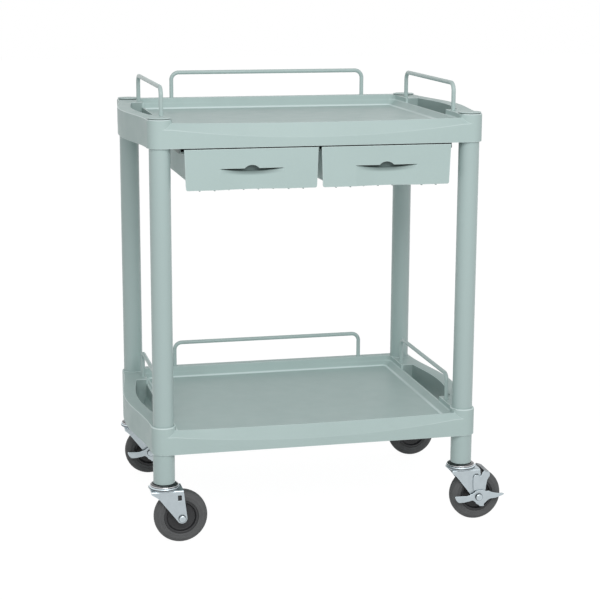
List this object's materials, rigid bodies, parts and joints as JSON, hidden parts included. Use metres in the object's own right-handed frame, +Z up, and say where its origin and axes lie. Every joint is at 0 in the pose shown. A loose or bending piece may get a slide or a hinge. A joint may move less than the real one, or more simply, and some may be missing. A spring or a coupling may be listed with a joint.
{
  "type": "utility cart",
  "caption": "Plastic utility cart: stacked moulded trays on round posts, low guard rails, shallow drawers under the top tray, swivel casters with foot brakes.",
  "frame": {"origin": "middle of the cart's outline seen from above, on the floor under the wheels", "axes": "+Z up, the drawers face -Y, +X to the right when facing the drawers"},
  "size_m": [0.7024, 0.4754, 0.8386],
  "materials": {
    "body_plastic": "fine satin moulding",
    "post_coating": "smooth coating in the body's colour",
    "rail_coating": "smooth coating in the body's colour",
    "runner_plastic": "plain moulding",
    "zinc_plate": "bright zinc plate on pressed sheet",
    "race_chrome": "polished",
    "tyre_rubber": "grey rubber with a smooth tread",
    "hub_plastic": "dark moulding"
  },
  "bodies": {
    "cart_frame": {"top_tray": "body_plastic", "bottom_tray": "body_plastic", "post_cap_front_left": "body_plastic", "post_front_left": "post_coating", "leg_front_left": "post_coating", "post_cap_front_right": "body_plastic", "post_front_right": "post_coating", "leg_front_right": "post_coating", "post_cap_rear_left": "body_plastic", "post_rear_left": "post_coating", "leg_rear_left": "post_coating", "post_cap_rear_right": "body_plastic", "post_rear_right": "post_coating", "leg_rear_right": "post_coating", "top_rail_back": "rail_coating", "top_rail_left": "rail_coating", "top_rail_right": "rail_coating", "bottom_rail_back": "rail_coating", "bottom_rail_left": "rail_coating", "bottom_rail_right": "rail_coating", "drawer_runner_left": "runner_plastic", "drawer_runner_right": "runner_plastic", "drawer_runner_centre": "runner_plastic", "caster_stem_front_left": "race_chrome", "caster_stem_front_right": "race_chrome", "caster_stem_rear_left": "race_chrome", "caster_stem_rear_right": "race_chrome"},
    "drawer_left_box": {"drawer_left": "body_plastic"},
    "drawer_right_box": {"drawer_right": "body_plastic"},
    "swivel_front_left": {"caster_fork_front_left": "zinc_plate", "caster_axle_front_left": "zinc_plate"},
    "wheel_front_left": {"wheel_hub_front_left": "hub_plastic", "tyre_front_left": "tyre_rubber"},
    "swivel_front_right": {"caster_fork_front_right": "zinc_plate", "caster_axle_front_right": "zinc_plate"},
    "wheel_front_right": {"wheel_hub_front_right": "hub_plastic", "tyre_front_right": "tyre_rubber"},
    "brake_shoe_body_front_right": {"brake_shoe_front_right": "zinc_plate"},
    "brake_pedal_body_front_right": {"brake_pedal_front_right": "zinc_plate"},
    "swivel_rear_left": {"caster_fork_rear_left": "zinc_plate", "caster_axle_rear_left": "zinc_plate"},
    "wheel_rear_left": {"wheel_hub_rear_left": "hub_plastic", "tyre_rear_left": "tyre_rubber"},
    "brake_shoe_body_rear_left": {"brake_shoe_rear_left": "zinc_plate"},
    "brake_pedal_body_rear_left": {"brake_pedal_rear_left": "zinc_plate"},
    "swivel_rear_right": {"caster_fork_rear_right": "zinc_plate", "caster_axle_rear_right": "zinc_plate"},
    "wheel_rear_right": {"wheel_hub_rear_right": "hub_plastic", "tyre_rear_right": "tyre_rubber"}
  },
  "joints": [
    {"name": "drawer_left_slide", "type": "slide", "parent": "cart_frame", "child": "drawer_left_box", "axis": [0, -1, 0], "range_m": [0, 0.28]},
    {"name": "drawer_right_slide", "type": "slide", "parent": "cart_frame", "child": "drawer_right_box", "axis": [0, -1, 0], "range_m": [0, 0.28]},
    {"name": "swivel_turn_front_left", "type": "hinge", "parent": "cart_frame", "child": "swivel_front_left", "pos_m": [-0.30635, -0.2061, 0.1109], "axis": [0, 0, 1], "continuous": true},
    {"name": "wheel_spin_front_left", "type": "hinge", "parent": "swivel_front_left", "child": "wheel_front_left", "pos_m": [-0.27685, -0.2061, 0.05], "axis": [0, 1, 0], "continuous": true},
    {"name": "swivel_turn_front_right", "type": "hinge", "parent": "cart_frame", "child": "swivel_front_right", "pos_m": [0.26865, -0.2061, 0.1109], "axis": [0, 0, 1], "continuous": true},
    {"name": "wheel_spin_front_right", "type": "hinge", "parent": "swivel_front_right", "child": "wheel_front_right", "pos_m": [0.29815, -0.2061, 0.05], "axis": [0, 1, 0], "continuous": true},
    {"name": "brake_pedal_press_front_right", "type": "hinge", "parent": "swivel_front_right", "child": "brake_pedal_body_front_right", "pos_m": [0.29815, -0.2061, 0.05], "axis": [0, 1, 0], "range_deg": [0, 19]},
    {"name": "brake_shoe_tilt_front_right", "type": "hinge", "parent": "swivel_front_right", "child": "brake_shoe_body_front_right", "pos_m": [0.29415, -0.2061, 0.09], "axis": [0, 1, 0], "range_deg": [0, 2.4]},
    {"name": "swivel_turn_rear_left", "type": "hinge", "parent": "cart_frame", "child": "swivel_rear_left", "pos_m": [-0.30635, 0.2099, 0.1109], "axis": [0, 0, 1], "continuous": true},
    {"name": "wheel_spin_rear_left", "type": "hinge", "parent": "swivel_rear_left", "child": "wheel_rear_left", "pos_m": [-0.27685, 0.2099, 0.05], "axis": [0, 1, 0], "continuous": true},
    {"name": "brake_pedal_press_rear_left", "type": "hinge", "parent": "swivel_rear_left", "child": "brake_pedal_body_rear_left", "pos_m": [-0.27685, 0.2099, 0.05], "axis": [0, 1, 0], "range_deg": [0, 19]},
    {"name": "brake_shoe_tilt_rear_left", "type": "hinge", "parent": "swivel_rear_left", "child": "brake_shoe_body_rear_left", "pos_m": [-0.28085, 0.2099, 0.09], "axis": [0, 1, 0], "range_deg": [0, 2.4]},
    {"name": "swivel_turn_rear_right", "type": "hinge", "parent": "cart_frame", "child": "swivel_rear_right", "pos_m": [0.26865, 0.2099, 0.1109], "axis": [0, 0, 1], "continuous": true},
    {"name": "wheel_spin_rear_right", "type": "hinge", "parent": "swivel_rear_right", "child": "wheel_rear_right", "pos_m": [0.29815, 0.2099, 0.05], "axis": [0, 1, 0], "continuous": true}
  ],
  "couplings": [
    {"joint": "brake_shoe_tilt_front_right", "follows": "brake_pedal_press_front_right", "ratio": 0.125},
    {"joint": "brake_shoe_tilt_rear_left", "follows": "brake_pedal_press_rear_left", "ratio": 0.125}
  ]
}
